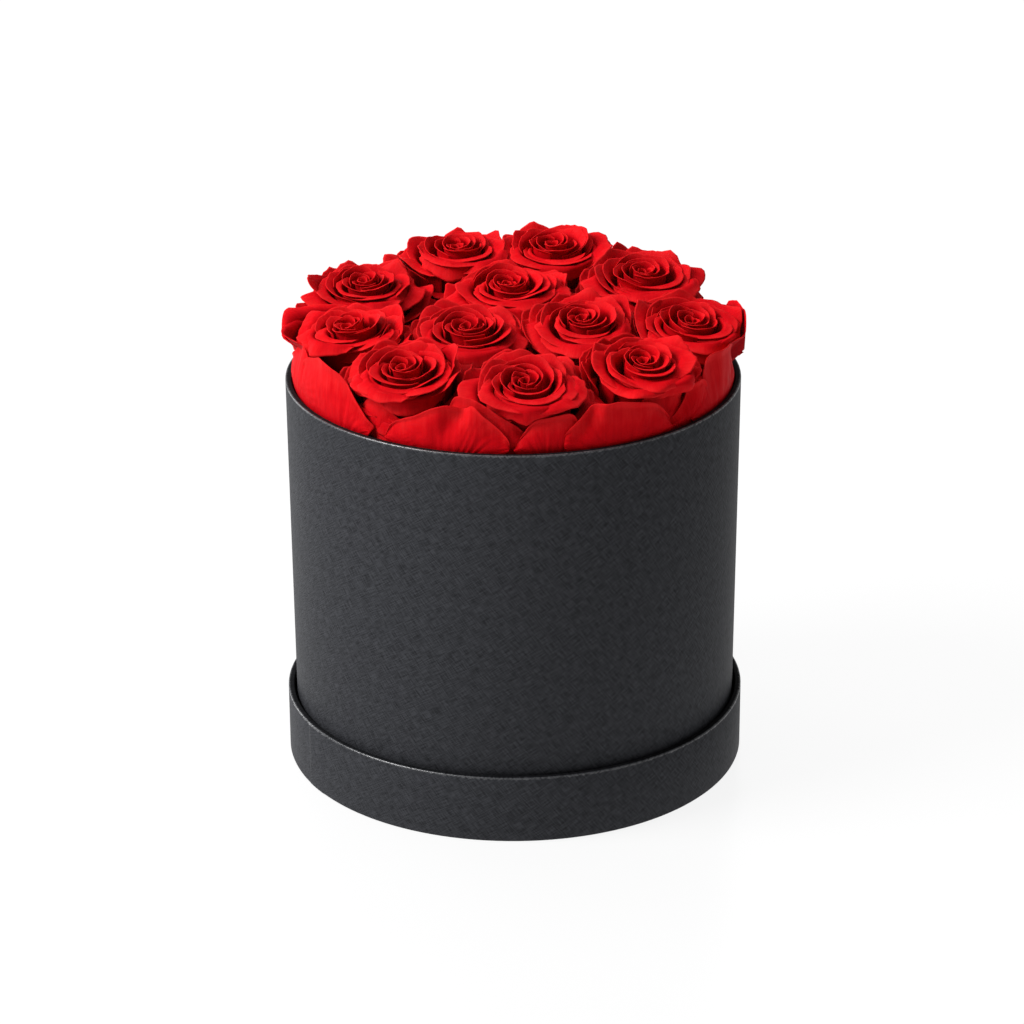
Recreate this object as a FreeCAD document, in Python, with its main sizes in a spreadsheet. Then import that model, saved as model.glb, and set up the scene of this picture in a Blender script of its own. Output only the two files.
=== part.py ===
import FreeCAD, Part

import math
import os

import Sketcher

# Flower box: a round hat box covered in embossed paper, standing in its own upturned lid,
# with a dozen preserved roses pushed into a block of dry foam.
# Frame: origin at the middle of the underside, +Z up, the front towards -Y.

# Sizes in millimetres and degrees.
SIZES = {
    # covered board
    "board": 1.8,
    "wrap": 0.3,
    "lining": 0.2,
    "glue": 0.05,
    "box_height": 159.6,
    "flare": 1.2,
    "lid_height": 28.0,
    "lid_gap": 1.2,
    "edge": 0.4,
    "turn_in": 15.0,
    "turn_under": 14.0,
    "cover_inset": 0.8,
    "lap_width": 9.0,
    # foam
    "foam_play": 0.5,
    "foam_gap": 2.0,
    # ring of heads
    "head_diameter": 42.4,
    "head_gap": 0.8,
    "overhang": 0.8,
    "head_level": 35.0,
    "head_depth": 20.0,
    "lift": 9.0,
    # stem, hip and sepals
    "stem_diameter": 5.0,
    "stem_length": 40.0,
    "stem_play": 0.15,
    "hip_radius": 4.6,
    "hip_height": 6.0,
    "cone_radius": 3.5,
    "cone_taper": 0.8,
    "sepal_reach": 9.0,
    "sepal_width": 4.0,
    # petals
    "petal": 0.45,
    "seat_gap": 0.3,
    "tuck_gap": 0.4,
    "base_height": 7.0,
    "base_rise": 3.5,
    "bloom_height": 45.0,
    "guard_inset": 0.3,
    "guard_drop": 9.0,
    "guard_flare": 0.8,
    "guard_lip": 1.5,
    "outer_inset": 3.2,
    "outer_drop": 4.0,
    "outer_flare": 3.2,
    "outer_lip": 1.2,
    "middle_inset": 8.2,
    "middle_drop": 2.0,
    "middle_flare": 1.6,
    "middle_lip": 1.4,
    "inner_inset": 13.0,
    "inner_drop": 1.6,
    "inner_flare": 0.8,
    "inner_lip": 1.0,
    "spiral_inset": 16.8,
    "spiral_drop": 2.0,
    "spiral_flare": 0.3,
    "spiral_lip": 0.8,
    "bud_radius": 1.7,
    "bud_drop": 1.5,
}

# Counts, and shares of the sizes above.
SHARES = {
    "sepal_count": 5,
    "overlap": 1.4,
    "arch": 0.8,
    "waist_out": 0.74,
    "waist_up": 0.36,
    "guard_tuck": 1.44,
    "outer_tuck": 1.32,
    "middle_tuck": 1.15,
    "inner_tuck": 0.75,
    "spiral_tuck": 0.9,
}

# Rows of petals from the outside in, with the number of petals in each.
ROWS = {"guard": 5, "outer": 5, "middle": 5, "inner": 3, "spiral": 2}

# Each rose: the bearing of its head, its share of the lift, its lean and the heading of that lean.
OUTER_ROSES = [
    (-86, 0.0, 16, -90),
    (-44, 0.0, 15, -65),
    (-4, 0.1, 13, -55),
    (35, 0.65, 10, -70),
    (74, 1.0, 10, -95),
    (111, 0.9, 6, -90),
    (153, 0.55, 10, -100),
    (191, 0.15, 10, -140),
    (231, 0.0, 15, -108),
]
INNER_ROSES = [
    (-143, 0.2, 10, -100),
    (94, 0.65, 10, -90),
    (-24, 0.4, 12, -85),
]
BEARINGS = [spot[0] for spot in OUTER_ROSES]
CLOSEST = min((after - before) % 360 for before, after in zip(BEARINGS, BEARINGS[1:] + BEARINGS[:1]))

LID_SEAM = -149.5
BOX_SEAM = 97.0

doc = FreeCAD.newDocument("flower_box")
sheet = doc.addObject("Spreadsheet::Sheet", "Sizes")
for line, (alias, value) in enumerate({**SIZES, **SHARES}.items(), 1):
    sheet.set(f"A{line}", alias)
    sheet.set(f"B{line}", str(value))
    sheet.setAlias(f"B{line}", alias)
doc.recompute()


def number(expression):
    return float(sheet.evalExpression(expression))


# Radii from the ring of heads outwards; those of the box wall are at its foot, below the flare.
HEAD_RADIUS = "Sizes.head_diameter / 2"
HEAD_PITCH = "(Sizes.head_diameter + Sizes.head_gap)"
OUTER_RING = f"({HEAD_PITCH} / (2 * sin({CLOSEST / 2} deg)))"
INNER_RING = f"({HEAD_PITCH} / (2 * sin({180 / len(INNER_ROSES)} deg)))"
SKIN = "(Sizes.wrap + Sizes.glue)"
RIM_INNER = f"({OUTER_RING} + {HEAD_RADIUS} - Sizes.overhang)"
BOX_INNER = f"({RIM_INNER} - Sizes.flare)"
WALL_INNER = f"({BOX_INNER} + {SKIN})"
WALL_OUTER = f"({WALL_INNER} + Sizes.board)"
BOX_RADIUS = f"({WALL_OUTER} + {SKIN})"
LINING_OUTER = f"({WALL_INNER} - Sizes.glue)"
LINING_INNER = f"({LINING_OUTER} - Sizes.lining)"
LID_INNER = f"({BOX_RADIUS} + Sizes.lid_gap)"
BAND_INNER = f"({LID_INNER} + {SKIN})"
BAND_OUTER = f"({BAND_INNER} + Sizes.board)"
LID_RADIUS = f"({BAND_OUTER} + {SKIN})"

# Heights from the table upwards.
LID_TURN = f"({SKIN})"
LID_BOARD = f"({LID_TURN} + {SKIN})"
LID_PAPER = f"({LID_BOARD} + Sizes.board + Sizes.glue)"
LID_FLOOR = f"({LID_PAPER} + Sizes.lining)"
BOX_TURN = f"({LID_FLOOR} + Sizes.lining + Sizes.glue)"
BOX_BOARD = f"({BOX_TURN} + {SKIN})"
BOX_FLOOR = f"({BOX_BOARD} + Sizes.board)"
RIM = f"({LID_FLOOR} + Sizes.box_height)"
TURN_IN_END = f"({RIM} - Sizes.turn_in)"
SEAT = f"({RIM} - Sizes.head_depth)"
FOAM_TOP = f"({SEAT} - Sizes.foam_gap)"


def origin_part(body, role):
    return next(feature for feature in body.Origin.OriginFeatures if feature.Role == role)


def new_body(name):
    body = doc.addObject("PartDesign::Body", name)
    body.Label = name
    body.AllowCompound = True
    return body


def new_sketch(body, name, role):
    sketch = body.newObject("Sketcher::SketchObject", f"{body.Name}_{name}")
    sketch.AttachmentSupport = [(origin_part(body, role), "")]
    sketch.MapMode = "FlatFace"
    return sketch


def bind(sketch, kind, first, end, expression):
    """Hold a coordinate of a point of the sketch to an expression."""
    index = sketch.addConstraint(Sketcher.Constraint(kind, -1, 1, first, end, number(expression)))
    sketch.setExpression(f"Constraints[{index}]", expression)


def outline(sketch, corners, bows=None):
    """Close a loop through the corners; a bow makes a side an arc about a centre (x, z, turn)."""
    bows = bows or {}
    points = [FreeCAD.Vector(number(x), number(z), 0) for x, z in corners]
    ends = []
    for side, start in enumerate(points):
        stop = points[(side + 1) % len(points)]
        if side not in bows:
            sketch.addGeometry(Part.LineSegment(start, stop), False)
            ends.append((1, 2))
            continue
        x, z, turn = bows[side]
        centre = FreeCAD.Vector(number(x), number(z), 0)
        first, last = (start, stop) if turn > 0 else (stop, start)
        angles = [math.atan2(p.y - centre.y, p.x - centre.x) for p in (first, last)]
        if angles[1] < angles[0]:
            angles[1] += 2 * math.pi
        circle = Part.Circle(centre, FreeCAD.Vector(0, 0, 1), centre.distanceToPoint(first))
        sketch.addGeometry(Part.ArcOfCircle(circle, *angles), False)
        ends.append((1, 2) if turn > 0 else (2, 1))
    for side in range(len(points)):
        after = (side + 1) % len(points)
        sketch.addConstraint(Sketcher.Constraint("Coincident", side, ends[side][1], after, ends[after][0]))
    for side, (x, z) in enumerate(corners):
        bind(sketch, "DistanceX", side, ends[side][0], x)
        bind(sketch, "DistanceY", side, ends[side][0], z)
    for side, (x, z, turn) in bows.items():
        bind(sketch, "DistanceY", side, 3, z)


def turned(body, sketch, name, angle=None):
    """Turn a profile about the upright axis of its sketch, all round or by an angle about its middle."""
    doc.recompute()
    feature = body.newObject("PartDesign::Revolution", f"{body.Name}_{name}")
    feature.Profile = sketch
    feature.ReferenceAxis = (sketch, ["V_Axis"])
    if angle is None:
        feature.Angle = 360
    else:
        feature.Midplane = True
        feature.setExpression("Angle", angle)
    doc.recompute()
    return feature


def turned_body(name, corners, bows=None):
    body = new_body(name)
    sketch = new_sketch(body, "profile", "XZ_Plane")
    outline(sketch, corners, bows)
    turned(body, sketch, "turn")
    return body


def disc(name, radius, low, high):
    return turned_body(name, [("0", low), (radius, low), (radius, high), ("0", high)])


def upright(radius, height):
    return radius


def flared(radius, height):
    """Radius of the box wall at a height, from its radius at the foot."""
    return f"({radius} + Sizes.flare * ({height} - {BOX_TURN}) / ({RIM} - {BOX_TURN}))"


def tube(name, inner, outer, low, high, wall=upright):
    return turned_body(name, [
        (wall(inner, low), low),
        (wall(outer, low), low),
        (wall(outer, high), high),
        (wall(inner, high), high),
    ])


def covering(name, inner, outer, under, low, high, hem, seam, wall=upright):
    """Paper round a wall: turned under its foot and over its rim, with a lap where the ends meet."""
    shoulder = f"({high} - Sizes.edge)"
    bottom = f"({low} + Sizes.wrap)"
    top = f"({high} - Sizes.wrap)"
    body = turned_body(name, [
        (under, low),
        (wall(outer, low), low),
        (wall(outer, shoulder), shoulder),
        (f"({wall(outer, high)} - Sizes.edge)", high),
        (f"({wall(inner, high)} + Sizes.edge)", high),
        (wall(inner, shoulder), shoulder),
        (wall(inner, hem), hem),
        (f"({wall(inner, hem)} + Sizes.wrap)", hem),
        (f"({wall(inner, top)} + Sizes.wrap)", top),
        (f"({wall(outer, top)} - Sizes.wrap)", top),
        (f"({wall(outer, bottom)} - Sizes.wrap)", bottom),
        (under, bottom),
    ])
    lap = new_sketch(body, "lap", "XZ_Plane")
    facing = FreeCAD.Rotation(FreeCAD.Vector(0, 1, 0), seam)
    lap.AttachmentOffset = FreeCAD.Placement(FreeCAD.Vector(), facing)
    inside = f"({outer} - Sizes.wrap / 2)"
    outside = f"({outer} + Sizes.wrap / 2)"
    outline(lap, [
        (wall(inside, low), low),
        (wall(outside, low), low),
        (wall(outside, shoulder), shoulder),
        (wall(inside, shoulder), shoulder),
    ])
    turned(body, lap, "lap_turn", f"Sizes.lap_width / {outer} * 1 rad")
    return body


def height_at(rank):
    """Height on the cone of the hip where a row of petals starts."""
    return f"(Sizes.base_height + {rank} * Sizes.base_rise)"


def cone_at(rank):
    """Radius of the cone of the hip at that height."""
    return f"(Sizes.cone_radius - {rank} * Sizes.cone_taper)"


def petal_row(name, rank, count):
    """A ring of petals, each cupped, reflexed at the lip and set off-axis to tuck under the next."""
    tuck = f"((Sizes.petal + Sizes.tuck_gap) * Sizes.{name}_tuck)"
    foot = f"({cone_at(rank)} + Sizes.seat_gap + {tuck} + Sizes.petal)"
    base = height_at(rank)
    reach = f"({HEAD_RADIUS} - Sizes.{name}_inset)"
    rim = f"(Sizes.bloom_height - Sizes.{name}_drop)"
    waist = f"({foot} + ({reach} - {foot}) * Sizes.waist_out)"
    belly = f"({base} + ({rim} - {base}) * Sizes.waist_up)"
    crown = f"({rim} + Sizes.{name}_lip)"
    outside = [(foot, base), (waist, belly), (reach, rim), (f"({reach} + Sizes.{name}_flare)", crown)]
    inside = [(f"({x} - Sizes.petal)", f"({z} + Sizes.petal)") for x, z in reversed(outside)]
    body = new_body(f"{name}_row")
    sketch = new_sketch(body, "profile", "XZ_Plane")
    sketch.setExpression("AttachmentOffset.Base.z", f"-{tuck}")
    outline(sketch, outside + inside)
    turned(body, sketch, "turn", f"360 / {count} * Sizes.overlap")

    width = f"({reach} * Sizes.arch)"
    spring = f"({crown} + Sizes.petal - {width})"
    above = f"({crown} + Sizes.head_diameter)"
    left = f"({tuck} - {width})"
    right = f"({tuck} + {width})"
    far_left = f"({left} - Sizes.head_diameter)"
    far_right = f"({right} + Sizes.head_diameter)"
    corners = [(right, spring), (left, spring), (far_left, spring), (far_left, above),
               (far_right, above), (far_right, spring)]
    arch = new_sketch(body, "arch", "YZ_Plane")
    outline(arch, corners, {0: (tuck, spring, 1)})
    doc.recompute()
    trim = body.newObject("PartDesign::Pocket", f"{name}_trim")
    trim.Profile = arch
    trim.Type = "ThroughAll"
    trim.SideType = "Symmetric"
    doc.recompute()
    around(body, name, count)
    return body


def around(body, name, count):
    """Repeat the whole body about its upright axis."""
    pattern = body.newObject("PartDesign::PolarPattern", f"{name}_around")
    pattern.TransformMode = "Whole shape"
    pattern.Originals = []
    pattern.Axis = (origin_part(body, "Z_Axis"), [""])
    pattern.Angle = 360
    pattern.setExpression("Occurrences", str(count))
    body.Tip = pattern
    doc.recompute()
    return pattern


def rose_stem():
    """The cut stem with its hip, the cone the petals sit on, and the sepals below them."""
    body = new_body("stem")
    sketch = new_sketch(body, "profile", "XZ_Plane")
    foot = "-Sizes.stem_length"
    radius = "(Sizes.stem_diameter / 2)"
    shoulder = "(Sizes.hip_height / 2)"
    tip = len(ROWS) - 1.5
    outline(sketch, [
        ("0", foot),
        (radius, foot),
        (radius, "0"),
        ("Sizes.hip_radius", shoulder),
        ("Sizes.cone_radius", "Sizes.hip_height"),
        ("Sizes.cone_radius", height_at(0)),
        (cone_at(tip), height_at(tip)),
        ("0", height_at(tip)),
    ])
    turned(body, sketch, "turn")
    sepal = new_sketch(body, "sepal", "XY_Plane")
    sepal.setExpression("AttachmentOffset.Base.z", shoulder)
    half = "(Sizes.sepal_width / 2)"
    outline(sepal, [
        (radius, f"-{half}"),
        ("Sizes.hip_radius", f"-{half}"),
        ("(Sizes.hip_radius + Sizes.sepal_reach)", "0"),
        ("Sizes.hip_radius", half),
        (radius, half),
    ])
    doc.recompute()
    pad = body.newObject("PartDesign::Pad", "sepal_pad")
    pad.Profile = sepal
    pad.setExpression("Length", "Sizes.petal")
    doc.recompute()
    around(body, "sepal", "Sizes.sepal_count")
    return body


def rose_bud():
    """The closed point in the middle of the spiral."""
    foot = height_at(len(ROWS))
    top = "(Sizes.bloom_height - Sizes.bud_drop)"
    waist = f"({foot} + ({top} - {foot}) * 2 / 3)"
    return turned_body("bud", [
        ("0", foot),
        ("(Sizes.bud_radius / 2)", foot),
        ("Sizes.bud_radius", waist),
        ("(Sizes.bud_radius / 3)", top),
        ("0", top),
    ])


def gather(name, pieces):
    group = doc.addObject("Part::Compound", name)
    group.Label = name
    group.Links = pieces
    return group


def planted(name, pieces, ring, bearing, lift, lean, heading):
    """The pieces with the head of the rose on its ring and the foot set back against the lean."""
    group = gather(name, pieces)
    facing = FreeCAD.Rotation(FreeCAD.Vector(0, 0, 1), heading)
    tilt = FreeCAD.Rotation(FreeCAD.Vector(0, 1, 0), lean)
    group.Placement = FreeCAD.Placement(FreeCAD.Vector(), facing.multiply(tilt))
    back = f"Sizes.head_level * sin({lean} deg)"
    group.setExpression("Placement.Base.x", f"{ring} * cos({bearing} deg) - {back} * cos({heading} deg)")
    group.setExpression("Placement.Base.y", f"{ring} * sin({bearing} deg) - {back} * sin({heading} deg)")
    group.setExpression("Placement.Base.z", f"{SEAT} + Sizes.lift * {lift}")
    return group


nodes = [
    disc("lid_cover", f"({LID_RADIUS} - Sizes.cover_inset)", "0", "Sizes.wrap"),
    disc("lid_panel", f"({BAND_INNER} - Sizes.glue)", LID_BOARD, f"({LID_BOARD} + Sizes.board)"),
    tube("lid_band", BAND_INNER, BAND_OUTER, LID_BOARD, f"(Sizes.lid_height - {SKIN})"),
    covering("lid_wrap", LID_INNER, LID_RADIUS, f"({LID_RADIUS} - Sizes.turn_under)", LID_TURN,
             "Sizes.lid_height", f"({LID_FLOOR} + Sizes.glue)", LID_SEAM),
    disc("lid_paper", f"({BAND_INNER} - Sizes.glue)", LID_PAPER, LID_FLOOR),
    disc("box_base_paper", f"({BOX_RADIUS} - Sizes.cover_inset)", LID_FLOOR, f"({LID_FLOOR} + Sizes.lining)"),
    disc("box_base", f"({WALL_INNER} - Sizes.glue)", BOX_BOARD, BOX_FLOOR),
    tube("box_wall", WALL_INNER, WALL_OUTER, BOX_BOARD, f"({RIM} - {SKIN})", flared),
    covering("box_wrap", BOX_INNER, BOX_RADIUS, f"({BOX_RADIUS} - Sizes.turn_under)", BOX_TURN,
             RIM, TURN_IN_END, BOX_SEAM, flared),
    tube("box_lining", LINING_INNER, LINING_OUTER, f"({BOX_FLOOR} + Sizes.glue)",
         f"({TURN_IN_END} - Sizes.glue)", flared),
]

rows = {name: petal_row(name, rank, count) for rank, (name, count) in enumerate(ROWS.items())}
rose_pieces = {
    "stem": [rose_stem()],
    "guard_petals": [rows["guard"]],
    "petals": [rows["outer"], rows["middle"]],
    "heart": [rows["inner"], rows["spiral"], rose_bud()],
}

stem_hole = doc.addObject("Part::Cylinder", "stem_hole")
stem_hole.setExpression("Radius", "Sizes.stem_diameter / 2 + Sizes.stem_play")
stem_hole.setExpression("Height", "Sizes.stem_length + Sizes.stem_play + Sizes.hip_height")
stem_hole.setExpression("Placement.Base.z", "-Sizes.stem_length - Sizes.stem_play")

holes = []
spots = [(OUTER_RING, *spot) for spot in OUTER_ROSES] + [(INNER_RING, *spot) for spot in INNER_ROSES]
for count, spot in enumerate(spots, 1):
    nodes += [planted(f"rose_{count:02d}_{piece}", links, *spot) for piece, links in rose_pieces.items()]
    holes.append(planted(f"hole_{count:02d}", [stem_hole], *spot))

foam_blank = doc.addObject("Part::Cylinder", "foam_blank")
foam_blank.setExpression("Radius", f"{LINING_INNER} - Sizes.foam_play")
foam_blank.setExpression("Height", f"{FOAM_TOP} - {BOX_FLOOR}")
foam_blank.setExpression("Placement.Base.z", BOX_FLOOR)
foam = doc.addObject("Part::Cut", "foam")
foam.Label = "foam_block"
foam.Base = foam_blank
foam.Tool = gather("holes", holes)
nodes.append(foam)

doc.recompute()
faults = [obj.Name for obj in doc.Objects if {"Invalid", "Error"} & set(obj.State)]
faults += [node.Label for node in nodes if node.Shape.isNull() or not node.Shape.isValid()]
if faults:
    raise RuntimeError(f"not built: {faults}")

os.makedirs("parts", exist_ok=True)
for node in nodes:
    node.Shape.exportStep(f"parts/{node.Label}.step")
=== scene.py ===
import math
import random

import bpy
from mathutils import Matrix, Vector, noise


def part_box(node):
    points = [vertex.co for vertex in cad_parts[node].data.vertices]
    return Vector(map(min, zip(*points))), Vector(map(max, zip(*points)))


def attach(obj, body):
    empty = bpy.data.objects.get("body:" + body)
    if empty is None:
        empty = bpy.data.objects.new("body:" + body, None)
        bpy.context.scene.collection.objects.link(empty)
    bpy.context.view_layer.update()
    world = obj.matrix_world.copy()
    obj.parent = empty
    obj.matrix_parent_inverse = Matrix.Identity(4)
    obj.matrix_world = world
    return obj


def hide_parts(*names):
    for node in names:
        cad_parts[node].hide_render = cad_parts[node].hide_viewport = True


MM = 0.001

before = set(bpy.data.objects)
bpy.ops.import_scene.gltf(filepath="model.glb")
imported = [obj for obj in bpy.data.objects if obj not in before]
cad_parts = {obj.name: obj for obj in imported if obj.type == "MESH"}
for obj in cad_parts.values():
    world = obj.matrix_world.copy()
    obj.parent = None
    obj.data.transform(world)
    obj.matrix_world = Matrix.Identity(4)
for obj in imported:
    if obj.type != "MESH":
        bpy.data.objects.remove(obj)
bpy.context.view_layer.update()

# The two paper coverings, in millimetres: glue and paper outside the board, rim, foot and radius of each,
# and the shape of their edges. The seams are in degrees, and the edge of a lap is in radians.
SKIN = 0.35
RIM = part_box("box_wrap")[1][2] / MM
BOX_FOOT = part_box("box_wrap")[0][2] / MM
BOX_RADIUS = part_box("box_wall")[1][0] / MM + SKIN
LID_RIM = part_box("lid_wrap")[1][2] / MM
LID_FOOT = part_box("lid_wrap")[0][2] / MM
LID_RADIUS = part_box("lid_band")[1][0] / MM + SKIN
FLARE = 1.2
RIM_WIDTH = 2.5
EDGE = 0.5
EDGE_STEPS = 4
FOOT_EDGE = 0.7
FOOT_CORNER = 0.2
TURN_IN = 15.0
HEM = 14.0
WRAP = 0.3
LAP_WIDTH = 9.0
LAP_STEP = 0.14
LAP_EDGE = 0.0015
TURN_STEPS = 240
LID_SEAM = -149.5
BOX_SEAM = 97.0

# Where each rose grows: bearing and lift of its head, how far it leans, the heading of that lean,
# and how far its bloom is pushed aside by its neighbours.
HEAD_DEPTH = 20.0
SEAT = RIM - HEAD_DEPTH
HEAD_LEVEL = 35.0
OUTER_RING = 68.07
INNER_RING = 24.94
OUTER_ROSES = [
    (-86, 0, 16, -90, -0.3), (-44, 0, 15, -65, 0), (-4, 0.9, 13, -55, 1.4), (35, 5.85, 10, -70, -2.8),
    (74, 9, 10, -95, -2.2), (111, 8.1, 6, -90, 1.5), (153, 4.95, 10, -100, 0.4), (191, 1.35, 10, -140, 3.2),
    (231, 0, 15, -108, 1),
]
INNER_ROSES = [(-143, 1.8, 10, -100, 2), (94, 5.85, 10, -90, 0), (-24, 3.6, 12, -85, 4.1)]

# Petals: thickness, mesh steps across and along each, how much finer the rim petals are, and how far each
# kind is lifted out of the painted shade at its foot.
PETAL = 0.28
ACROSS = 24
ALONG = 22
RIM_FINER = 3
FOOT_SHADE_LIFT = {"heart": 0.45, "petals": 0.25, "guard_petals": 0.0, "rim": 0.42}

# Lips: where along a petal the lip starts, the share of it that rolls before it runs straight, and how
# much its edge draws in at the sides, comes to a point and is nicked.
LIP_START = 0.5
ROLL_SHARE = 0.5
DRAW_IN = 0.45
POINT = 0.35
POINT_WIDTH = 0.4
NICK = 0.17
NICKS_ACROSS = 7.0

# Room for the blooms: the level where it is measured, the heart that is never pressed, the room kept
# for lips, the least room, how far petals pass the inside of the wall and the middle between two roses,
# the steps it is measured at in degrees, and which neighbours count. Beside the wall, petals stay behind
# the rim petals and lean out above them.
CREST_LEVEL = 38.0
FREE_HEART = 9.0
LIP_ROOM = 3.0
LEAST_ROOM = 11.5
OVERHANG = 1.8
OVERLAP = 4.0
ROOM_STEP = 5
LEAST_FACING = 0.1
NEIGHBOUR_REACH = 40.0
FREE_SHARE = 0.88
WALL_GAP = 0.5
BEHIND_RIM = 2.5
LEAN_OUT = 7.0
LEAN_START = 2.0
LEAN_END = 7.0
WALL_EASE = 4.0

# Rings of petals: count, half span in degrees, the cup up to its crest as radius and height, the length
# of the lip, its curl in degrees, how much lower a petal opens in front than behind, the fall of the
# crest towards its sides, spiral tuck, waviness, and how far a ring reaches past the room it has.
HEART = [
    dict(count=2, span=115, cup=[(0.4, 24.0), (1.4, 33.0), (1.9, 40.0), (2.0, 43.4)],
         lip=1.2, curl=35, opening=0.0, fall=0.06, tuck=0.40, wave=0.3),
    dict(count=3, span=90, cup=[(0.8, 20.5), (3.2, 32.0), (4.2, 40.2), (4.4, 44.2)],
         lip=1.6, curl=45, opening=0.2, fall=0.06, tuck=0.32, wave=0.45),
    dict(count=3, span=84, cup=[(1.2, 17.0), (5.4, 30.0), (6.9, 39.0), (7.2, 44.0)],
         lip=2.0, curl=55, opening=0.6, fall=0.05, tuck=0.28, wave=0.6),
    dict(count=3, span=80, cup=[(1.6, 14.0), (8.0, 27.5), (9.9, 36.8), (10.4, 42.2)],
         lip=3.0, curl=75, opening=-1.0, fall=0.06, tuck=0.26, wave=0.9),
]
PETALS = [
    dict(count=4, span=70, cup=[(2.0, 10.0), (11.2, 22.5), (14.2, 32.0), (15.0, 38.8)],
         lip=4.8, curl=105, opening=-4.6, fall=0.07, tuck=0.22, wave=1.1),
    dict(count=5, span=60, cup=[(2.6, 7.0), (13.8, 18.5), (17.4, 29.5), (18.5, 37.6)],
         lip=6.2, curl=135, opening=-6.2, fall=0.07, tuck=0.17, wave=1.4),
    dict(count=3, span=80, cup=[(1.8, 12.0), (9.8, 25.0), (12.2, 34.5), (12.8, 40.4)],
         lip=3.8, curl=88, opening=-2.4, fall=0.06, tuck=0.24, wave=1.1),
]
GUARDS = [
    dict(count=6, span=54, cup=[(3.0, 4.5), (16.0, 13.5), (21.0, 24.5), (23.0, 33.4)],
         lip=6.5, curl=100, opening=5.0, fall=0.10, tuck=0.15, wave=1.8, reach=4.0),
    dict(count=5, span=50, cup=[(3.4, 2.0), (16.8, 9.5), (22.0, 19.0), (25.0, 27.0)],
         lip=7.5, curl=75, opening=2.0, fall=0.10, tuck=0.12, wave=1.9, reach=8.0),
]

# Single petals between the heads, upright, leaning out or folded over: rose, direction from the heading
# of its lean in degrees, and form.
LOOSE = dict(span=40, cup=[(3.4, 4.0), (15.5, 15.0), (20.5, 28.0), (23.5, 38.5)],
             lip=4.0, curl=50, opening=0.0, fall=0.10, tuck=0.05, wave=1.6, reach=6.0)
TALL = dict(LOOSE, cup=[(3.4, 4.0), (15.5, 17.0), (20.5, 31.0), (22.5, 43.0)])
WIDE = dict(LOOSE, span=50, cup=[(3.4, 4.0), (18.0, 15.0), (28.0, 28.0), (33.0, 42.5)],
            lip=6.0, curl=85, reach=30.0)
FLAP = dict(span=34, cup=[(3.2, 4.0), (15.5, 14.5), (20.0, 26.5), (21.8, 35.5)],
            lip=8.0, curl=115, opening=0.0, fall=0.05, tuck=0.05, wave=1.2, reach=4.0)
LOOSE_PETALS = [
    (9, 112, TALL), (12, 132, LOOSE), (11, 108, LOOSE), (12, -92, LOOSE), (2, -118, LOOSE),
    (2, 66, LOOSE), (10, -95, LOOSE), (8, 95, LOOSE), (6, 40, LOOSE), (7, -86, TALL),
    (8, -36, WIDE), (8, -78, WIDE), (6, -70, LOOSE), (1, -62, FLAP), (3, 66, WIDE),
]

# Broad petals that stand along the rim: the rose they belong to, how far they stand back from the
# wall, the upper edge as bearing and height above the rim, and folds as bearing at the edge, bearing
# at the rim, depth, and width in degrees.
RIM_PETALS = [
    dict(rose=8, back=3.0, edge=[(154, 3), (161, 8), (169, 9.5), (178, 8), (187, 3)],
         folds=[(170, 170, -0.8, 6)]),
    dict(rose=8, back=0.2, edge=[(-186, 1), (-181, 7), (-172, 14), (-163, 22), (-155, 15), (-149, 2)],
         folds=[(-168, -172, 1.0, 5), (-157, -151, 4.0, 5)]),
    dict(rose=9, back=0.0,
         edge=[(-153, 2), (-157, 10), (-159, 17), (-148, 22.5), (-139, 19.5), (-133, 10), (-128.5, 3)],
         folds=[(-152, -148, 1.6, 4), (-140, -138, -0.8, 4)]),
    dict(rose=9, back=4.0, edge=[(-136, 6), (-132, 12), (-127, 12), (-121, 6)], folds=[]),
    dict(rose=9, back=0.0,
         edge=[(-124, 2), (-121.5, 8), (-115, 13), (-108, 17.5), (-102.7, 16), (-100, 17.5), (-97, 14),
               (-91.5, 5.5), (-91.6, 1)],
         folds=[(-103, -109, 3.6, 2.6), (-114, -116, -1.0, 5)]),
    dict(rose=1, back=3.0, edge=[(-108, 10), (-105, 20), (-97, 17.5), (-90, 10), (-85, 2)],
         folds=[(-98, -98, -1.2, 5)]),
    dict(rose=1, back=0.9, edge=[(-90, 1), (-87.4, 7.4), (-85, 11.5), (-81, 12.6), (-75, 14), (-72, 4)],
         folds=[(-84, -86, 1.0, 3)]),
    dict(rose=2, back=0.0,
         edge=[(-77, 1), (-77, 6.7), (-72, 13.5), (-67.6, 17), (-59, 15.6), (-52.8, 13.4), (-47.3, 6.5),
               (-46, 1.5)],
         folds=[(-69, -75, 2.4, 3), (-60, -62, -0.8, 5)]),
    dict(rose=2, back=3.0, edge=[(-58, 5), (-53, 13), (-46, 14.5), (-40, 11), (-42, 3)],
         folds=[(-46, -46, 1.5, 3)]),
    dict(rose=2, back=0.9, edge=[(-46, 1), (-41, 8), (-34.5, 15), (-31, 10), (-35, 1)],
         folds=[(-38, -40, 1.6, 2.5)]),
    dict(rose=3, back=0.0, edge=[(-39, 1), (-33.4, 13), (-30.5, 21), (-23, 21), (-13, 19), (-6, 12), (-4, 1)],
         folds=[(-19, -22, -1.2, 3), (-27, -30, 1.6, 4)]),
]

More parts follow.
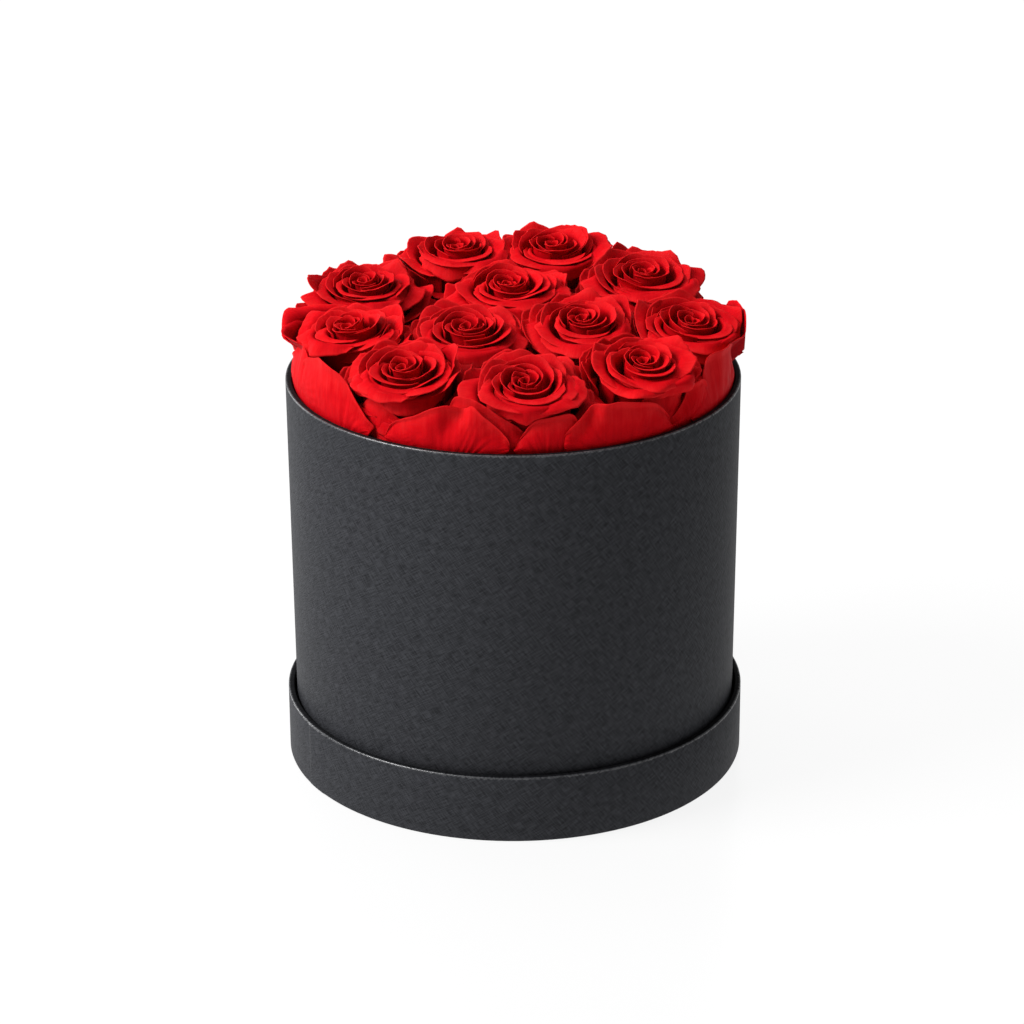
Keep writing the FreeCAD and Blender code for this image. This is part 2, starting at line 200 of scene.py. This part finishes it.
# The same along the back: rose and bearing, and an edge and folds about that bearing.
BACK_PETALS = [(3, 14), (4, 48), (5, 82), (6, 116), (7, 150)]
BACK_STEP = 1.2
BACK_EDGE = [(-19, 2), (-15, 12), (-6, 18), (4, 15.5), (9, 17), (16, 10), (18, 2)]
BACK_FOLDS = [(5, 2, 2.5, 3), (-8, -8, -0.8, 6)]
for rose_number, bearing in BACK_PETALS:
    RIM_PETALS.append(dict(
        rose=rose_number,
        back=BACK_STEP * (rose_number % 2),
        edge=[(bearing + turn, height) for turn, height in BACK_EDGE],
        folds=[(bearing + edge, bearing + rim, depth, width) for edge, rim, depth, width in BACK_FOLDS],
    ))

# The shape of a rim petal: how far it bows out and is set in, the depth of its waves, how far its sides
# turn in and its edge turns out, the depth and number of the wrinkles that fan out from the rim, and how
# far its tip leans in.
BOW = 0.3
SET_IN = 0.3
RIM_WAVES = 2.2
RIM_RIPPLES = 0.8
RIM_CRINKLES = 0.35
SIDES_IN = 2.4
TIP_OUT = 0.9
WRINKLE = 0.8
WRINKLES = 0.55
TIP_LEAN = 0.06

# Finishes: the hatch of the covering paper with its slants in degrees, the worn edge and the darker top of
# its rim, and the grain, clouds and veins of petals. Depths and widths are in metres.
HATCH_SLANTS = (38, -58)
HATCH_SCALE = 2250.0
HATCH_STRETCH = 11.0
HATCH_DEPTH = 0.00024
HATCH_STOPS = [(0.33, (0.0150, 0.0155, 0.0175)), (0.64, (0.0414, 0.0427, 0.0480))]
RIM_WEAR = 0.0016
RIM_TOP_DARK_SPAN = 0.002
PETAL_GRAIN = 900.0
PETAL_GRAIN_DEPTH = 0.0002
PETAL_CLOUDS = 160.0
PETAL_VEINS = (46.0, 3.0, 90.0)

# Floor, sky, the point the lamps are aimed at, and the camera. Places are in metres, lens and sensor in
# millimetres, the look down in degrees and the roll in radians.
FLOOR_HALF = 20.0
FLOOR_GREY = 0.09
FLOOR_GLOW = 0.875
SKY = 0.26
AIM = (0, 0, 0.1)
LENS = 124.3
SENSOR = 36.0
CAMERA_PLACE = (-0.00076, -1.3251, 0.65665)
LOOK_DOWN = 22.73
ROLL = -0.005


def rim_cover(bearing):
    """Height above the rim that the rim petals hide at a bearing in degrees."""
    cover = 0.0
    for form in RIM_PETALS:
        for (start, low), (end, high) in zip(form["edge"], form["edge"][1:]):
            for turn in (bearing - 360, bearing, bearing + 360):
                if min(start, end) <= turn <= max(start, end) and start != end:
                    cover = max(cover, low + (high - low) * (turn - start) / (end - start))
    return cover


RIM_COVER = [rim_cover(bearing) for bearing in range(-180, 182)]


def node(tree, kind, **settings):
    made = tree.nodes.new(kind)
    for name, value in settings.items():
        setattr(made, name, value)
    return made


def material(name, colour, roughness, specular=0.5):
    made = bpy.data.materials.new(name)
    made.use_nodes = True
    shader = made.node_tree.nodes["Principled BSDF"]
    shader.inputs["Base Color"].default_value = (*colour, 1.0)
    shader.inputs["Roughness"].default_value = roughness
    shader.inputs["Specular IOR Level"].default_value = specular
    return made


def ramp(tree, source, stops):
    made = node(tree, "ShaderNodeValToRGB")
    elements = made.color_ramp.elements
    while len(elements) < len(stops):
        elements.new(0.5)
    for element, (place, colour) in zip(elements, stops):
        element.position = place
        element.color = (*colour, 1.0)
    tree.links.new(source, made.inputs["Fac"])
    return made.outputs["Color"]


def noise_at(tree, vector, scale, detail, rough):
    made = node(tree, "ShaderNodeTexNoise")
    made.inputs["Scale"].default_value = scale
    made.inputs["Detail"].default_value = detail
    made.inputs["Roughness"].default_value = rough
    tree.links.new(vector, made.inputs["Vector"])
    return made.outputs["Fac"]


def bump(tree, height, strength, distance):
    made = node(tree, "ShaderNodeBump")
    made.inputs["Strength"].default_value = strength
    made.inputs["Distance"].default_value = distance
    tree.links.new(height, made.inputs["Height"])
    shader = tree.nodes["Principled BSDF"]
    tree.links.new(made.outputs["Normal"], shader.inputs["Normal"])


def math_node(tree, operation, *values):
    made = node(tree, "ShaderNodeMath", operation=operation)
    for socket, value in zip(made.inputs, values):
        if isinstance(value, (int, float)):
            socket.default_value = value
        else:
            tree.links.new(value, socket)
    return made.outputs["Value"]


def grained(name, colour, light, roughness, scale, depth):
    """A finish with a fine even grain."""
    made = material(name, colour, roughness)
    tree = made.node_tree
    place = node(tree, "ShaderNodeTexCoord").outputs["Object"]
    grain = noise_at(tree, place, scale, 4.0, 0.6)
    shade = ramp(tree, grain, [(0.3, colour), (0.7, light)])
    tree.links.new(shade, tree.nodes["Principled BSDF"].inputs["Base Color"])
    bump(tree, grain, 0.6, depth)
    return made


def leatherette(name, radius, rim):
    """Black covering paper with an embossed crosshatch of short slanting lines, polished at the rim."""
    made = material(name, (0.03, 0.03, 0.03), 0.55, 0.04)
    tree = made.node_tree
    shader = tree.nodes["Principled BSDF"]
    place = node(tree, "ShaderNodeTexCoord").outputs["Object"]
    parts = node(tree, "ShaderNodeSeparateXYZ")
    tree.links.new(place, parts.inputs["Vector"])
    if radius:
        angle = math_node(tree, "ARCTAN2", parts.outputs["Y"], parts.outputs["X"])
        along = math_node(tree, "MULTIPLY", angle, radius * MM)
        upward = parts.outputs["Z"]
    else:
        along = parts.outputs["X"]
        upward = parts.outputs["Y"]
    flat = node(tree, "ShaderNodeCombineXYZ")
    tree.links.new(along, flat.inputs["X"])
    tree.links.new(upward, flat.inputs["Y"])
    lines = []
    for slant in HATCH_SLANTS:
        turned = node(tree, "ShaderNodeMapping", vector_type="TEXTURE")
        turned.inputs["Rotation"].default_value = (0, 0, math.radians(slant))
        turned.inputs["Scale"].default_value = (1.0, HATCH_STRETCH, 1.0)
        tree.links.new(flat.outputs["Vector"], turned.inputs["Vector"])
        lines.append(noise_at(tree, turned.outputs["Vector"], HATCH_SCALE, 1.0, 0.4))
    hatch = math_node(tree, "MULTIPLY", math_node(tree, "ADD", lines[0], lines[1]), 0.5)
    shade = ramp(tree, hatch, HATCH_STOPS)
    tree.links.new(shade, shader.inputs["Base Color"])
    if rim:
        across = math_node(tree, "POWER", parts.outputs["X"], 2.0)
        squares = math_node(tree, "MULTIPLY_ADD", parts.outputs["Y"], parts.outputs["Y"], across)
        reach = math_node(tree, "SQRT", squares)
        below = math_node(tree, "SUBTRACT", rim * MM, upward)
        inward = math_node(tree, "SUBTRACT", radius * MM, reach)
        worn = math_node(tree, "DIVIDE", math_node(tree, "ADD", below, inward), RIM_WEAR)
        # The hatch breaks the polished edge into dots.
        broken = math_node(tree, "MULTIPLY_ADD", hatch, -1.4, math_node(tree, "ADD", worn, 0.72))
        polish = ramp(tree, broken, [(0.20, (0.30, 0.30, 0.30)), (0.50, (0.55, 0.55, 0.55))])
        gleam = ramp(tree, broken, [(0.20, (1.0, 1.0, 1.0)), (0.50, (0.04, 0.04, 0.04))])
        tree.links.new(polish, shader.inputs["Roughness"])
        tree.links.new(gleam, shader.inputs["Specular IOR Level"])
        # The inner part of the rim's top and the top of the inside wall are darkened, down to a quarter of
        # the hatch colour.
        top_inset = math_node(tree, "DIVIDE", math_node(tree, "SUBTRACT", inward, below), RIM_TOP_DARK_SPAN)
        rim_top_darkening = ramp(tree, top_inset, [(0.2, (1.0, 1.0, 1.0)), (0.4, (0.25, 0.25, 0.25))])
        dark = node(tree, "ShaderNodeVectorMath", operation="MULTIPLY")
        tree.links.new(shade, dark.inputs[0])
        tree.links.new(rim_top_darkening, dark.inputs[1])
        tree.links.new(dark.outputs["Vector"], shader.inputs["Base Color"])
    bump(tree, hatch, 0.6, HATCH_DEPTH)
    return made


def petal_finish(name, warmth):
    """Velvety red petal with fine veins, darkened towards the foot by painted shade and brightened to a paler
    red at the lip by a painted highlight.
    """
    made = material(name, (0.6, 0.002, 0.006), 0.6, 0.02)
    tree = made.node_tree
    shader = tree.nodes["Principled BSDF"]
    shader.inputs["Subsurface Weight"].default_value = 0.2
    shader.inputs["Subsurface Radius"].default_value = (0.004, 0.0006, 0.0005)
    shader.inputs["Sheen Weight"].default_value = 0.005
    shader.inputs["Sheen Roughness"].default_value = 0.45
    shader.inputs["Sheen Tint"].default_value = (1.0, 0.25, 0.22, 1.0)
    spread = node(tree, "ShaderNodeAttribute", attribute_name="petal")
    parts = node(tree, "ShaderNodeSeparateXYZ")
    tree.links.new(spread.outputs["Vector"], parts.inputs["Vector"])
    fan = node(tree, "ShaderNodeMapping")
    fan.inputs["Scale"].default_value = PETAL_VEINS
    tree.links.new(spread.outputs["Vector"], fan.inputs["Vector"])
    veins = noise_at(tree, fan.outputs["Vector"], 1.0, 3.0, 0.55)
    place = node(tree, "ShaderNodeTexCoord").outputs["Object"]
    cloud = noise_at(tree, place, PETAL_CLOUDS, 3.0, 0.5)
    clouded = math_node(tree, "MULTIPLY_ADD", cloud, 0.34, parts.outputs["Y"])
    veined = math_node(tree, "MULTIPLY_ADD", veins, 0.30, clouded)
    shade_and_tone = math_node(tree, "MULTIPLY", veined, 0.74)
    # Painted shade and highlight: the red deepens towards each petal's foot, where shade falls between
    # petals, and turns brighter and paler towards the lip, where light catches it. Clouds and veins vary it
    # at random.
    stops = [
        (0.25, (0.112 * warmth, 0.0002, 0.0016)),
        (0.60, (0.316 * warmth, 0.0005, 0.0034)),
        (0.86, (0.502 * warmth, 0.0022, 0.0056)),
        (0.98, (0.585 * warmth, 0.0090, 0.0115)),
    ]
    tree.links.new(ramp(tree, shade_and_tone, stops), shader.inputs["Base Color"])
    bump(tree, noise_at(tree, place, PETAL_GRAIN, 2.0, 0.5), 0.2, PETAL_GRAIN_DEPTH)
    return made


def dress(piece, finish):
    piece.data.materials.clear()
    piece.data.materials.append(finish)


def piece_from(name, corners, faces, body, finish, slot, *nodes):
    shape = bpy.data.meshes.new(name)
    shape.from_pydata([Vector(corner) * MM for corner in corners], [], faces)
    shape.polygons.foreach_set("use_smooth", [True] * len(shape.polygons))
    shape.update()
    made = bpy.data.objects.new(name, shape)
    bpy.context.scene.collection.objects.link(made)
    dress(made, finish)
    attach(made, body)
    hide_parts(*nodes)
    return made


def smooth(low, high, value):
    part = min(1.0, max(0.0, (value - low) / (high - low)))
    return part * part * (3 - 2 * part)


def on_line(line, part):
    """Point of a smooth line through the given corners, part from 0 to 1 along it."""
    last = len(line) - 2
    place = part * (last + 1)
    index = max(0, min(last, int(place)))
    rest = place - index
    before = line[max(0, index - 1)]
    start = line[index]
    end = line[index + 1]
    after = line[min(len(line) - 1, index + 2)]
    point = []
    for a, b, c, d in zip(before, start, end, after):
        bend = (2 * b + (c - a) * rest + (2 * a - 5 * b + 4 * c - d) * rest ** 2
                + (3 * b - a - 3 * c + d) * rest ** 3) / 2
        point.append(bend)
    return point


def press(distance, free, limit):
    """Eases a distance towards a limit that it never passes."""
    if distance <= free:
        return distance
    room = limit - free
    return free + room * (1 - math.exp((free - distance) / room))


class Rose:
    def __init__(self, number, ring, bearing, lift, lean, heading, aside):
        self.number = number
        self.name = f"rose_{number:02d}"
        facing = Matrix.Rotation(math.radians(heading), 4, "Z")
        tilt = Matrix.Rotation(math.radians(lean), 4, "Y")
        head = Matrix.Rotation(math.radians(bearing), 3, "Z") @ Vector((ring, 0, 0))
        back = facing.to_3x3() @ Vector((HEAD_LEVEL * math.sin(math.radians(lean)), 0, 0))
        self.foot = head - back + Vector((aside, 0, SEAT + lift))
        self.place = Matrix.Translation(self.foot) @ facing @ tilt
        self.up = self.place.to_3x3() @ Vector((0, 0, 1))
        self.heading = math.radians(heading)
        self.chance = random.Random(100 + number)
        self.bloom = self.chance.uniform(0.92, 1.12)

    def centre(self, height):
        return (self.foot + self.up * ((height - self.foot.z) / self.up.z)).to_2d()


spots = [(OUTER_RING, *spot) for spot in OUTER_ROSES] + [(INNER_RING, *spot) for spot in INNER_ROSES]
roses = [Rose(number, *spot) for number, spot in enumerate(spots, 1)]


def room(rose, bearing):
    """How far from its axis a rose can spread below its lips, held by its neighbours and the wall."""
    ahead = Vector((math.cos(bearing), math.sin(bearing)))
    level = rose.foot.z + CREST_LEVEL
    centre = rose.centre(level)
    wall = BOX_RADIUS - RIM_WIDTH + OVERHANG
    along = centre.dot(ahead)
    reach = math.sqrt(along ** 2 + wall ** 2 - centre.length_squared) - along
    for other in roses:
        if other is not rose:
            apart = other.centre(level) - centre
            toward = apart.normalized().dot(ahead)
            if toward > LEAST_FACING:
                reach = min(reach, (apart.length / 2 + OVERLAP) / toward)
    return max(reach - LIP_ROOM, LEAST_ROOM)


def held(rose, angle, radius, reach):
    """Presses the radius of a rose's cup into the room it has at an angle from its heading."""
    step = (math.degrees(angle + rose.heading) % 360) / ROOM_STEP
    before = int(step)
    limit = rose.rooms[before] + (rose.rooms[before + 1] - rose.rooms[before]) * (step - before)
    return press(radius, FREE_HEART, limit + reach)


for rose in roses:
    rose.rooms = [room(rose, math.radians(ROOM_STEP * step)) for step in range(360 // ROOM_STEP + 2)]


def settle(rose, point):
    """Presses a petal's point against the neighbouring roses and the box wall."""
    flat = point.to_2d()
    centre = rose.centre(point.z)
    for other in roses:
        if other is rose:
            continue
        apart = other.centre(point.z) - centre
        half = apart.length / 2
        if half > NEIGHBOUR_REACH:
            continue
        toward = apart.normalized()
        reach = (flat - centre).dot(toward)
        flat += toward * (press(reach, half * FREE_SHARE, half + OVERLAP) - reach)
    wall = BOX_RADIUS - RIM_WIDTH - WALL_GAP
    place = 180 + math.degrees(math.atan2(flat.y, flat.x))
    before = int(place)
    cover = RIM_COVER[before] + (RIM_COVER[before + 1] - RIM_COVER[before]) * (place - before)
    above = smooth(cover - LEAN_START, cover + LEAN_END, point.z - RIM)
    limit = wall - BEHIND_RIM + LEAN_OUT * above
    far = flat.length
    flat *= press(far, limit - WALL_EASE, limit) / max(far, 1e-6)
    return Vector((flat.x, flat.y, point.z))


class Petals:
    """Petals gathered in one mesh, with each point's place across and along its petal. The place along also
    carries the painted shade at the foot and the painted highlight at the lip.
    """

    def __init__(self):
        self.corners = []
        self.faces = []
        self.spread = []

    def add(self, shape, tint, shade_lift=0.0, finer=1):
        start = len(self.corners)
        columns = ACROSS * finer
        rows = ALONG * finer
        for i in range(columns + 1):
            across = 2 * i / columns - 1
            for j in range(rows + 1):
                along = j / rows
                self.corners.append(shape(across, along))
                # Second value: from the painted shade at the foot, lifted for some kinds, to the painted
                # highlight at the lip.
                self.spread.append((across, shade_lift + (1 - shade_lift) * along, tint))
        step = rows + 1
        for i in range(columns):
            for j in range(rows):
                first = start + i * step + j
                self.faces.append((first, first + step, first + step + 1, first + 1))

    def piece(self, name, finish, *nodes):
        made = piece_from(name, self.corners, self.faces, "box", finish, "rose_petal", *nodes)
        layer = made.data.attributes.new("petal", "FLOAT_VECTOR", "POINT")
        layer.data.foreach_set("vector", [value for spot in self.spread for value in spot])
        shell = made.modifiers.new("thickness", "SOLIDIFY")
        shell.thickness = PETAL * MM
        shell.offset = 0


def ring_petal(rose, ring, turn, size, seed):
    """The shape of one petal of a ring, as a function of the place across and along it."""
    wild = ring["wave"]
    cup = ring["cup"]
    span = math.radians(ring["span"]) * rose.chance.uniform(0.92, 1.08)
    rise = rose.chance.uniform(-1.0, 1.0) * wild
    lean = rose.chance.uniform(-0.6, 0.6) * wild
    skew = rose.chance.uniform(-0.9, 0.9) * wild
    tip = rose.chance.uniform(-0.35, 0.35)
    facing = 0.5 + 0.5 * math.cos(turn)
    most = math.radians(ring["curl"]) * rose.chance.uniform(0.7, 1.15) * (0.42 + 0.7 * facing)
    rise += ring["opening"] * (0.25 - facing)
    evenly = 0.45 + 0.55 * facing
    start = math.atan2(cup[-1][1] - cup[-2][1], cup[-1][0] - cup[-2][0])

    def shape(across, along):
        edge = abs(across)
        side = abs(across - tip)
        nick = noise.noise((across * NICKS_ACROSS + seed, seed * 0.53, seed))
        crest = 1 - ring["fall"] * side - 0.04 * smooth(0.75, 1.0, edge)
        part = crest * min(1.0, along / LIP_START)
        radius, height = on_line(cup, part)
        radius *= size * rose.bloom * (1 + ring["tuck"] * across * smooth(0.05, 0.6, part))
        width = span * (0.5 + 0.5 * smooth(0.0, 0.55, part))
        point = max(0.0, 1 - side / POINT_WIDTH)
        outline = 1 - DRAW_IN * edge ** 2.5 + POINT * point + NICK * nick
        length = ring["lip"] * (1 + 0.3 * facing) * outline
        sideways = evenly + (1 - evenly) * smooth(0.0, POINT_WIDTH, side)
        curl = most * sideways * (1 - 0.35 * smooth(0.8, 1.0, edge))
        angle = turn + across * width
        radius = held(rose, angle, radius, ring.get("reach", 0.0)) + lean * part
        height += rise * part + skew * across * part ** 2
        travel = length * max(0.0, along - LIP_START) / (1 - LIP_START)
        rolled = min(travel, ROLL_SHARE * length)
        bend = max(curl, 0.05) / (ROLL_SHARE * length)
        slope = start - bend * rolled
        radius += (math.sin(start) - math.sin(slope)) / bend + (travel - rolled) * math.cos(slope)
        height += (math.cos(slope) - math.cos(start)) / bend + (travel - rolled) * math.sin(slope)
        wave = noise.noise((across * 1.2 + seed, part * 1.4, seed * 0.37))
        ripple = noise.noise((across * 3.4 + seed, along * 2.6, seed * 0.71))
        radius += wild * along ** 2 * (1.3 * wave + 0.6 * ripple + 1.6 * (0.4 - side))
        height += wild * along ** 3 * (0.8 * wave + 0.5 * ripple)
        local = Vector((radius * math.cos(angle), radius * math.sin(angle), height))
        return settle(rose, rose.place @ local)

    return shape


def rim_petal(form, seed):
    """The shape of a broad petal that stands along the inside of the rim."""
    wall = BOX_RADIUS - RIM_WIDTH - PETAL - form["back"]
    edge_line = form["edge"]
    middle = (edge_line[0][0] + edge_line[-1][0]) / 2

    def shape(across, along):
        bearing, height = on_line(edge_line, (across + 1) / 2)
        line = [
            (wall - 15, SEAT + 4), (wall - 4.5, RIM - 9), (wall, RIM),
            (wall + BOW, RIM + height * 0.55), (wall - TIP_LEAN * height, RIM + height),
        ]
        radius, level = on_line(line, along)
        wave = noise.noise((bearing * 0.07 + seed, along * 1.3, seed * 0.53))
        ripple = noise.noise((bearing * 0.22 + seed, along * 2.6, seed * 0.29))
        crinkle = noise.noise((bearing * 0.6 + seed, along * 2.0, seed * 0.41))
        inward = SET_IN + RIM_WAVES * wave + RIM_RIPPLES * ripple + RIM_CRINKLES * crinkle
        inward += SIDES_IN * across ** 2
        fan = (bearing - middle) / (0.45 + 1.1 * max(0.0, along - 0.4))
        wrinkle = abs(noise.noise((fan * WRINKLES + seed, along * 1.6, seed * 0.33)))
        for at_edge, at_rim, depth, width in form["folds"]:
            rim_top_darkening = at_edge + (at_rim - at_edge) * 2 * (1 - along)
            inward += depth * math.exp(-((bearing - rim_top_darkening) / width) ** 2)
        radius -= max(-0.2, inward) * smooth(0.42, 1.0, along)
        radius += TIP_OUT * smooth(0.88, 1.0, along)
        radius -= WRINKLE * wrinkle * smooth(0.40, 0.52, along) * (1 - smooth(0.6, 1.0, along))
        level += RIM_RIPPLES * ripple * smooth(0.5, 1.0, along)
        angle = math.radians(middle + (bearing - middle) * (0.45 + 0.55 * smooth(0.0, 0.6, along)))
        return Vector((radius * math.cos(angle), radius * math.sin(angle), level))

    return shape


def build_rose(rose, finishes):
    groups = {"guard_petals": GUARDS, "petals": PETALS, "heart": HEART}
    for group, rings in groups.items():
        petals = Petals()
        for ring in rings:
            start = rose.chance.uniform(0, 2 * math.pi)
            for index in range(ring["count"]):
                turn = start + 2 * math.pi * index / ring["count"] + rose.chance.uniform(-0.2, 0.2)
                seed = rose.number * 17.3 + len(petals.corners) * 0.013 + ring["span"]
                size = rose.chance.uniform(0.95, 1.05)
                shape = ring_petal(rose, ring, turn, size, seed)
                petals.add(shape, rose.chance.random(), FOOT_SHADE_LIFT[group])
        if group == "guard_petals":
            for number, turn, form in LOOSE_PETALS:
                if number == rose.number:
                    shape = ring_petal(rose, form, math.radians(turn), 1.0, turn * 0.37)
                    petals.add(shape, rose.chance.random())
            for form in RIM_PETALS:
                if form["rose"] == rose.number:
                    shape = rim_petal(form, form["edge"][0][0] * 0.21)
                    petals.add(shape, rose.chance.random(), FOOT_SHADE_LIFT["rim"], RIM_FINER)
        name = f"{rose.name}_{group}"
        petals.piece(f"{name}_soft", finishes[rose.number % len(finishes)], name)


def turned_skin(name, profile, seam, body, finish, replaced):
    """A covering turned from a closed profile of radius, height and share of the lap's step."""
    angles = [math.radians(360 * step / TURN_STEPS) for step in range(TURN_STEPS)]
    lap = LAP_WIDTH / profile[0][0]
    first = math.radians(seam) - lap / 2
    angles += [first, first + LAP_EDGE, first + lap]
    angles = sorted(angle % (2 * math.pi) for angle in angles)
    corners = []
    for angle in angles:
        past = (angle - first) % (2 * math.pi)
        raised = smooth(0.0, LAP_EDGE, past) if past <= lap else 0.0
        for radius, height, share in profile:
            reach = radius + raised * share * LAP_STEP
            corners.append((reach * math.cos(angle), reach * math.sin(angle), height))
    count = len(profile)
    faces = []
    for turn in range(len(angles)):
        following = (turn + 1) % len(angles)
        for spot in range(count):
            after = (spot + 1) % count
            faces.append((turn * count + spot, following * count + spot,
                          following * count + after, turn * count + after))
    piece_from(name, corners, faces, body, finish, "leatherette", replaced)


def rounded(centre, level, first):
    """A quarter round of the rim's edge about a centre, from an angle in degrees."""
    angles = [math.radians(first + 90 * step / EDGE_STEPS) for step in range(EDGE_STEPS + 1)]
    return [(centre + EDGE * math.cos(angle), level + EDGE * math.sin(angle)) for angle in angles]


def cover_profile(radius, foot, rim, flare):
    """Closed profile of a covering paper drawn over the rim of a wall and under its foot."""
    low = radius - flare
    inner = radius - RIM_WIDTH
    hem = rim - TURN_IN
    hem_radius = inner - flare * TURN_IN / rim
    outside = [
        (low - HEM, foot, 0), (low - FOOT_EDGE, foot, 0),
        (low - FOOT_CORNER, foot + FOOT_CORNER, 1), (low, foot + FOOT_EDGE, 1),
    ]
    for step, (reach, level) in enumerate(rounded(radius - EDGE, rim - EDGE, 0)):
        outside.append((reach, level, 1 - step / EDGE_STEPS))
    for reach, level in rounded(inner + EDGE, rim - EDGE, 90):
        outside.append((reach, level, 0))
    outside.append((hem_radius, hem, 0))
    inside = [
        (hem_radius + WRAP, hem, 0), (inner + WRAP, rim - WRAP, 0), (radius - WRAP, rim - WRAP, 0),
        (low - WRAP, foot + WRAP + FOOT_EDGE, 0), (low - WRAP - FOOT_EDGE + FOOT_CORNER, foot + WRAP, 0),
        (low - HEM, foot + WRAP, 0),
    ]
    return outside + inside


box_leather = leatherette("leatherette_box", BOX_RADIUS, RIM)
lid_leather = leatherette("leatherette_lid", LID_RADIUS, LID_RIM)
flat_leather = leatherette("leatherette_flat", 0, 0)
greyboard = grained("greyboard", (0.16, 0.15, 0.13), (0.24, 0.22, 0.19), 0.9, 900.0, 0.0001)
black_paper = grained("lining_paper", (0.012, 0.012, 0.013), (0.022, 0.022, 0.023), 0.8, 1200.0, 0.00005)
foam = grained("dry_foam", (0.020, 0.030, 0.016), (0.05, 0.065, 0.035), 0.95, 700.0, 0.0004)
green = grained("rose_green", (0.035, 0.075, 0.020), (0.07, 0.13, 0.035), 0.6, 260.0, 0.0002)
reds = [petal_finish(f"rose_petal_{step}", warmth) for step, warmth in enumerate((1.0, 0.96, 1.04))]

finish_of = {
    "lid_cover": flat_leather, "lid_panel": greyboard, "lid_band": greyboard, "lid_wrap": lid_leather,
    "lid_paper": black_paper, "box_base_paper": black_paper, "box_base": greyboard, "box_wall": greyboard,
    "box_wrap": box_leather, "box_lining": black_paper, "foam_block": foam,
}
for name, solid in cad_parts.items():
    if name in finish_of:
        dress(solid, finish_of[name])
    elif name.endswith("_stem"):
        dress(solid, green)
    else:
        dress(solid, reds[0])

box_profile = cover_profile(BOX_RADIUS, BOX_FOOT, RIM, FLARE)
lid_profile = cover_profile(LID_RADIUS, LID_FOOT, LID_RIM, 0.0)
turned_skin("box_wrap_skin", box_profile, BOX_SEAM, "box", box_leather, "box_wrap")
turned_skin("lid_wrap_skin", lid_profile, LID_SEAM, "lid", lid_leather, "lid_wrap")

for rose in roses:
    build_rose(rose, reds)

floor_shape = bpy.data.meshes.new("floor")
floor_corners = [(x * FLOOR_HALF, y * FLOOR_HALF, 0) for x, y in ((-1, -1), (1, -1), (1, 1), (-1, 1))]
floor_shape.from_pydata(floor_corners, [], [(0, 1, 2, 3)])
floor = bpy.data.objects.new("floor", floor_shape)
bpy.context.scene.collection.objects.link(floor)
floor_finish = material("floor", (FLOOR_GREY, FLOOR_GREY, FLOOR_GREY), 0.25, 1.0)
floor_shader = floor_finish.node_tree.nodes["Principled BSDF"]
floor_shader.inputs["Emission Color"].default_value = (1.0, 1.0, 1.0, 1.0)
floor_shader.inputs["Emission Strength"].default_value = FLOOR_GLOW
dress(floor, floor_finish)

world = bpy.data.worlds.new("studio")
world.use_nodes = True
sky = world.node_tree.nodes["Background"]
sky.inputs["Color"].default_value = (1.0, 1.0, 1.0, 1.0)
sky.inputs["Strength"].default_value = SKY
bpy.context.scene.world = world


def softbox(name, place, size, watts):
    """A round soft lamp that points at the object."""
    lamp = bpy.data.lights.new(name, "AREA")
    lamp.shape = "DISK"
    lamp.size = size
    lamp.energy = watts
    made = bpy.data.objects.new(name, lamp)
    made.location = place
    made.rotation_euler = (Vector(AIM) - Vector(place)).to_track_quat("-Z", "Y").to_euler()
    bpy.context.scene.collection.objects.link(made)


softbox("key", (-1.75, -0.5, 1.7), 1.3, 80)
softbox("edge", (-1.2, 1.0, 0.5), 0.6, 6)
softbox("top", (-0.2, 0.4, 2.0), 1.4, 16)

lens = bpy.data.cameras.new("camera")
lens.lens = LENS
lens.sensor_width = SENSOR
lens.clip_start = 0.05
camera = bpy.data.objects.new("camera", lens)
pitch = Matrix.Rotation(math.radians(90 - LOOK_DOWN), 4, "X")
camera.matrix_world = Matrix.Translation(CAMERA_PLACE) @ pitch @ Matrix.Rotation(ROLL, 4, "Z")
bpy.context.scene.collection.objects.link(camera)
bpy.context.scene.camera = camera
bpy.context.scene.view_settings.view_transform = "Standard"
